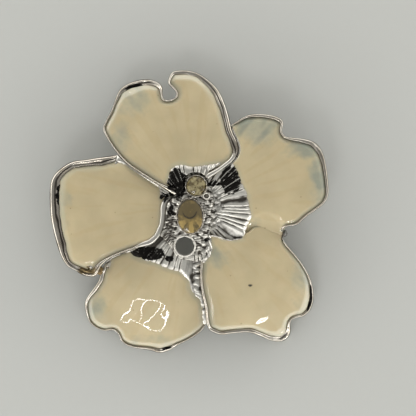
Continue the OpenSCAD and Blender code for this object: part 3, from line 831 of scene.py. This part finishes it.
def centre_metal():
    """The cast centre: a low dome with ridges running out, pebbles below, and an open stone seat."""
    seat = frame["record"]["mounts"][0]
    sx, sy = seat["pos_m"][0] * MM, seat["pos_m"][1] * MM
    way = np.linspace(0, 2 * np.pi, 240, endpoint=False)
    radius = seat["dims"]["r_mm"]
    hole = np.stack([sx + radius * np.cos(way), sy + radius * np.sin(way)], axis=1)
    edge = outline("centre_casting", 900, 0.1)
    back, peak = (corner[2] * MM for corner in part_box("centre_casting"))
    xy, quads, edges = plate([edge, hole], CENTRE_STEP)
    reach = np.hypot(xy[:, 0], xy[:, 1] + 1)
    dome = peak - 1.3 - (CENTRE_BOW - np.sqrt(CENTRE_BOW ** 2 - reach ** 2))
    out = np.hypot(xy[:, 0] - FLOWER_EYE[0], (xy[:, 1] - FLOWER_EYE[1]) / 1.6)
    fan = ease(5.2, 6.4, out)
    ornament = fan * ridges(xy, RIDGES, 3) * 0.85 + (1 - 0.85 * fan) * pebbles(xy, 44) * 0.95
    top = dome + 0.5 * ornament
    places, faces = slab(xy, quads, edges, top, np.full(len(xy), back + 0.02))
    # Tarnish and painted dark reflection on the top of the cast centre
    black = blackened(places[:, :2])
    black[len(xy):] = 0
    # Dirt and painted shade: darker between the ridges and pebbles, in the dull places, and on the
    # underside
    valley = np.maximum(1.7 * np.clip(1 - ornament, 0, 1) ** 1.2, dulled(xy, ornament))
    hollow = np.concatenate([valley, np.full(len(xy), 0.35)])
    collar = hole + (hole - [sx, sy]) / radius * 0.24
    bezel("seat_collar", collar[::2], back + 1.2, back + 3.1, 0.48, 6, 0.22, 0.9)
    return settle(new_piece("centre_metal", places, faces, material("plating"), hollow=hollow, black=black,
                            satin=np.full(len(places), 0.8)), "silver_plate", "centre_casting")


def bead_cup():
    """The small cast cup beside the round stone: a ring and the bead inside it."""
    x, y, peak = CUP_AT[0], CUP_AT[1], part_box("centre_casting")[1][2] * MM
    way = np.linspace(0, 2 * np.pi, 48, endpoint=False)
    loop = np.stack([x + 0.62 * np.cos(way), y + 0.56 * np.sin(way)], axis=1)
    bezel("bead_cup", loop, peak - 2.2, peak - 0.25, 0.36, 3, 0.25, 0.6)
    places, faces = globe(np.array([x, y, peak - 1.15]), 0.42)
    # The bead is darkened all over by the tone of dirt and painted shade
    bead = new_piece("bead", places, faces, material("plating"), hollow=np.full(len(places), 0.55))
    settle(bead, "silver_plate")


def capped(rings, sides):
    """Faces over a stack of rings of corners: quads between rings, and a fan to the last two corners.

    Those are one corner under the first ring and one over the last."""
    i, j = np.meshgrid(np.arange(rings - 1), np.arange(sides), indexing="ij")
    j2 = (j + 1) % sides
    quads = np.stack([i * sides + j, i * sides + j2, (i + 1) * sides + j2, (i + 1) * sides + j], -1)
    k = np.arange(sides)
    k2, last, south = (k + 1) % sides, (rings - 1) * sides, rings * sides
    below = np.column_stack([np.full(sides, south), k2, k])
    above = np.column_stack([np.full(sides, south + 1), k + last, k2 + last])
    return quads.reshape(-1, 4).tolist() + below.tolist() + above.tolist()


def globe(centre, radius, rows=24, columns=36):
    """A ball as a grid of latitude and longitude, closed at both poles."""
    up = np.linspace(-np.pi / 2, np.pi / 2, rows + 1)[1:-1]
    round_ = np.linspace(0, 2 * np.pi, columns, endpoint=False)
    lat, lon = np.meshgrid(up, round_, indexing="ij")
    body = np.stack([np.cos(lat) * np.cos(lon), np.cos(lat) * np.sin(lon), np.sin(lat)], axis=-1)
    places = np.concatenate([body.reshape(-1, 3), [[0, 0, -1], [0, 0, 1]]]) * radius + centre
    return places, capped(rows - 1, columns)


def lathe(centre, half, heights, shares, sides, turn=0.0):
    """A closed stack of ovals: shares of the half widths at given heights, and a point at each end."""
    way = np.linspace(0, 2 * np.pi, sides, endpoint=False)
    shares, heights = np.asarray(shares)[:, None], np.asarray(heights)[:, None]
    x, y = half[0] * shares * np.cos(way), half[1] * shares * np.sin(way)
    c, s = math.cos(math.radians(turn)), math.sin(math.radians(turn))
    body = np.stack([centre[0] + x * c - y * s, centre[1] + x * s + y * c, heights + 0 * x], axis=-1)
    ends = [[centre[0], centre[1], heights[0, 0]], [centre[0], centre[1], heights[-1, 0]]]
    return np.concatenate([body.reshape(-1, 3), ends]), capped(len(body), sides)


def oval_cabochon():
    """The oval stone: a dome as 1 - r^2 over its girdle, with painted light on its foil, brightest at its
    lower end, and a painted dark crescent.
    """
    (cx, cy, cz), half = middle_of("oval_stone")
    girdle = cz + half[2] - GIRDLE_DEPTH
    dome = np.linspace(1, 0.02, 40)
    heights = np.concatenate([[girdle - 1.2, girdle - 0.1], girdle + 0.36 + 0.64 * (1 - dome ** 2)])
    shares = np.concatenate([[0.72, 0.98], dome])
    places, faces = lathe((cx, cy), half * 0.995, heights, shares, 96, 4)
    u, v = (places[:, 0] - cx) / half[0], (places[:, 1] - cy) / half[1]
    turn, out = np.arctan2(u, -v), np.hypot(u, v)
    cuts = 0.5 + 0.5 * np.sign(np.sin(turn * 6 + 1.2 * out)) * ease(0.35, 0.6, out)
    # Painted light: brightest towards the lower end, brighter and darker on alternate cuts there, a little
    # lit near the upper middle, and uneven
    glow = ease(0.2, -0.7, v) * (0.35 + cuts) + 0.20 * ease(0.5, 0.9, v) * ease(0.9, 0.6, out) - 0.12
    glow = glow + 0.2 * wobble(places[:, :2], 1.2, 12)
    # Painted shade: a dark crescent across the middle, and a dark border round the upper part
    arc = np.exp(-(((np.hypot(u + 0.05, v - 0.50) - 0.62) / 0.05) ** 2)) * ease(0.36, 0.2, v)
    border = 0.6 * ease(0.88, 0.99, out) * ease(-0.4, 0.2, v)
    shadow = np.clip(0.95 * arc * ease(0.75, 0.4, np.abs(u)) + border, 0, 1)
    stone = new_piece("oval_cabochon", places, faces, material("amber"), glow=glow, shadow=shadow)
    settle(stone, "amber_glass", "oval_stone")
    path = ring_path("oval_stone", COLLAR_GROW, 4, 160)
    bezel("oval_bezel", path, girdle - 1.8, girdle + 0.34, COLLAR_WALL, 14, 0.10, 0)


def round_rhinestone():
    """The round stone: an eight-sided table, crown and pavilion over its foil."""
    (cx, cy, cz), half = middle_of("round_stone")
    girdle = cz + half[2] - GIRDLE_DEPTH
    heights = girdle + np.array([-1.1, -0.1, 0.10, 0.55, 0.80, 0.80])
    places, faces = lathe((cx, cy), half, heights, [0.2, 0.99, 0.99, 0.78, 0.5, 0.02], 16, 11)
    way = np.arctan2(places[:, 1] - cy, places[:, 0] - cx)
    # Painted light and shade: the crown's facets are brighter and darker in turn, with a slow swell round
    # the stone
    glow = 0.45 + 0.4 * np.sign(np.sin(way * 4 + 0.6)) * (places[:, 2] > girdle) + 0.15 * np.sin(way * 3)
    settle(new_piece("round_rhinestone", places, faces, material("straw"), smooth=False, glow=glow,
                     shadow=np.zeros(len(places))), "pale_glass", "round_stone")
    foil_h = girdle + np.array([-1.3, -1.2, -0.3, -0.35])
    places, faces = lathe((cx, cy), half * 0.99, foil_h, [0.3, 0.4, 0.99, 0.9], 24)
    settle(new_piece("round_foil", places, faces, material("straw_foil"), shade=np.full(len(places), 0.4)),
           "pale_glass")
    path = ring_path("round_stone", COLLAR_GROW, 0, 120)
    bezel("round_bezel", path, girdle - 1.8, girdle + 0.36, COLLAR_WALL, 8, 0.30, 0)


MATERIALS = {}


def material(name):
    """Each finish is made once, when it is first asked for."""
    c, glass, foil = colours(), stone_finish, foil_finish
    makers = {
        "plating": plating,
        "enamel": enamel_finish,
        "amber": lambda: glass("amber_glass_finish", c.amber, c.painted_glass_shade, 0.2, 0.08, 0.35, 900),
        "straw": lambda: glass("straw_glass_finish", c.straw, c.painted_glass_shade, 0.35, 0.02, 0.8, 1900),
        "straw_foil": lambda: foil("straw_foil", (0.70, 0.62, 0.38), (0.10, 0.08, 0.03)),
        "old_solder": lambda: solder_finish("old_solder_finish", (0.30, 0.20, 0.08), 0.3),
        "solder": lambda: solder_finish("solder_finish", (0.30, 0.29, 0.27), 0.9),
        "sheet": lambda: brushed_finish("rolled_sheet_finish", (0.62, 0.60, 0.56), (1, 12, 12)),
        "wire": lambda: brushed_finish("drawn_wire_finish", (0.68, 0.67, 0.65), (1, 16, 16)),
    }
    if name not in MATERIALS:
        MATERIALS[name] = makers[name]()
    return MATERIALS[name]


def refinish(node, finish):
    """Gives one of the finishes to a CAD node that keeps its shape."""
    mesh = frame["nodes"][node].data
    mesh.materials.clear()
    mesh.materials.append(material(finish))


# ---------------------------------------------------------------- operators


class BROOCH_OT_petals(bpy.types.Operator):
    """Cast metal of the five petals, with rolled rims and ridged bases"""

    bl_idname = "brooch.petals"
    bl_label = "Petals"

    def execute(self, context):
        for seed, name in enumerate(PETALS):
            settle(petal_metal(name, seed), "silver_plate", name + "_petal")
        return {"FINISHED"}


class BROOCH_OT_enamel(bpy.types.Operator):
    """Cream enamel in each petal"""

    bl_idname = "brooch.enamel"
    bl_label = "Enamel"

    def execute(self, context):
        for seed, name in enumerate(PETALS):
            settle(petal_enamel(name, seed), "cream_enamel", name + "_enamel")
        return {"FINISHED"}


class BROOCH_OT_centre(bpy.types.Operator):
    """Cast centre with its ridges, pebbles, open seat and ball"""

    bl_idname = "brooch.centre"
    bl_label = "Centre"

    def execute(self, context):
        centre_metal()
        bead_cup()
        return {"FINISHED"}


class BROOCH_OT_stones(bpy.types.Operator):
    """Oval cabochon, and round facetted stone over its foil, each inside its collar"""

    bl_idname = "brooch.stones"
    bl_label = "Stones"

    def execute(self, context):
        oval_cabochon()
        round_rhinestone()
        return {"FINISHED"}


def solder_lump(node, finish, seed):
    """A lump of solder: a ball with smooth unevenness on its radius, as wide and high as the CAD solid."""
    middle, half = middle_of(node)
    places, faces = globe(np.zeros(3), 1.0, 40, 60)
    lumpy = 0.88 + 0.12 * wobble(places[:, :2] + places[:, 2:] * [0.6, 0.8], 0.9, seed)
    places = middle + places * lumpy[:, None] * half * [1.0, 1.0, 0.95]
    settle(new_piece(node + "_lump", places, faces, material(finish)), finish, node)


class BROOCH_OT_solder(bpy.types.Operator):
    """Solder between the petals and along the bar"""

    bl_idname = "brooch.solder"
    bl_label = "Solder"

    def execute(self, context):
        solder_lump("left_solder", "old_solder", 81)
        solder_lump("right_solder", "solder", 82)
        refinish("bar_solder", "solder")
        return {"FINISHED"}


class BROOCH_OT_pin_back(bpy.types.Operator):
    """Finishes of the bar, rivet, stem and safety catch"""

    bl_idname = "brooch.pin_back"
    bl_label = "Pin back"

    def execute(self, context):
        finishes = {"pin_bar": "sheet", "catch_housing": "sheet", "catch_barrel": "sheet",
                    "hinge_rivet": "sheet", "pin_stem": "wire"}
        for node, finish in finishes.items():
            refinish(node, finish)
        return {"FINISHED"}


class BROOCH_OT_stage(bpy.types.Operator):
    """Camera straight above, plain pale floor and soft studio light"""

    bl_idname = "brooch.stage"
    bl_label = "Stage"

    def execute(self, context):
        scene = context.scene
        s = sizes()
        camera = bpy.data.cameras.new("camera")
        camera.sensor_width = 36
        camera.lens = camera.sensor_width * s.camera_far / s.view_width
        camera.clip_start, camera.clip_end = 0.01, 10
        eye = bpy.data.objects.new("camera", camera)
        eye.location = Vector(VIEW_MIDDLE) + Vector((0, 0, s.camera_far))
        scene.collection.objects.link(eye)
        scene.camera = eye
        floor_mesh = bpy.data.meshes.new("floor")
        corners = [(x * FLOOR_HALF, y * FLOOR_HALF, 0) for x, y in ((-1, -1), (1, -1), (1, 1), (-1, 1))]
        floor_mesh.from_pydata(corners, [], [(0, 1, 2, 3)])
        f = Finish("floor_finish")
        grain = f.noise(900, 4)
        f.feed(f.shader, Base_Color=f.mix(f.ramp(grain, 0.3, 0.7, 0, 0.5), paint(colours().floor),
                                          paint(colours().floor, 0.985)), Roughness=0.85)
        floor_mesh.materials.append(f.material)
        floor = bpy.data.objects.new("floor", floor_mesh)
        scene.collection.objects.link(floor)
        half_wide, half_high = WINDOW_HALF
        for share in PANES:
            self.strip(scene, WINDOW_AT, share * half_wide, 0, BAR, 2 * half_high)
        for side in (-1, 1):
            self.strip(scene, WINDOW_AT, 0, side * half_high, 2 * half_wide, BAR)
            self.strip(scene, LAMP_AT, 0, side * LAMP_GAP, LAMP_WIDE, LAMP_BAR)
        scene.world = self.sky()
        scene.view_settings.view_transform = "Standard"
        return {"FINISHED"}

    def strip(self, scene, middle, across, up, wide, high):
        """A bright bar that faces the flower, at across and up from the middle of its window."""
        data = bpy.data.lights.new("strip", "AREA")
        data.shape, data.size, data.size_y, data.energy = "RECTANGLE", wide, high, STRIP_POWER
        lamp = bpy.data.objects.new("strip", data)
        turn = (-Vector(middle)).to_track_quat("-Z", "Y")
        lamp.location = Vector(middle) + turn @ Vector((across, up, 0))
        lamp.rotation_euler = turn.to_euler()
        scene.collection.objects.link(lamp)

    def sky(self):
        """A plain room: light comes in low from all round, and the ceiling is dim."""
        world = bpy.data.worlds.new("room")
        world.use_nodes = True
        nodes, links = world.node_tree.nodes, world.node_tree.links
        where = nodes.new("ShaderNodeTexCoord")
        split = nodes.new("ShaderNodeSeparateXYZ")
        ramp = nodes.new("ShaderNodeValToRGB")
        links.new(where.outputs["Generated"], split.inputs[0])
        links.new(split.outputs["Z"], ramp.inputs[0])
        links.new(ramp.outputs[0], nodes["Background"].inputs["Color"])
        ramp.color_ramp.elements[0].position, ramp.color_ramp.elements[1].position = 0.0, 1.0
        for place, _ in SKY[1:-1]:
            ramp.color_ramp.elements.new(place)
        for element, (place, grey) in zip(ramp.color_ramp.elements, SKY):
            element.position, element.color = place, (grey, grey, grey * 0.97, 1)
        nodes["Background"].inputs["Strength"].default_value = SKY_STRENGTH
        return world


class BROOCH_PT_panel(bpy.types.Panel):
    """Lists the brooch's pieces, sizes and colours"""

    bl_idname = "BROOCH_PT_panel"
    bl_label = "Flower Brooch"
    bl_space_type = "VIEW_3D"
    bl_region_type = "UI"
    bl_category = "Brooch"

    def draw(self, context):
        for group in (context.scene.brooch_sizes, context.scene.brooch_colours):
            for name in group.bl_rna.properties.keys():
                if name not in ("rna_type", "name"):
                    self.layout.prop(group, name)
        for operator in OPERATORS:
            self.layout.operator(operator.bl_idname)


OPERATORS = (BROOCH_OT_petals, BROOCH_OT_enamel, BROOCH_OT_centre, BROOCH_OT_stones, BROOCH_OT_solder,
             BROOCH_OT_pin_back, BROOCH_OT_stage)
CLASSES = (BroochSizes, BroochColours, *OPERATORS, BROOCH_PT_panel)


def register():
    for cls in CLASSES:
        bpy.utils.register_class(cls)
    bpy.types.Scene.brooch_sizes = PointerProperty(type=BroochSizes)
    bpy.types.Scene.brooch_colours = PointerProperty(type=BroochColours)


def unregister():
    del bpy.types.Scene.brooch_colours
    del bpy.types.Scene.brooch_sizes
    for cls in reversed(CLASSES):
        bpy.utils.unregister_class(cls)


def main():
    register()
    for operator in OPERATORS:
        group, name = operator.bl_idname.split(".")
        getattr(getattr(bpy.ops, group), name)()


if __name__ == "__main__":
    main()
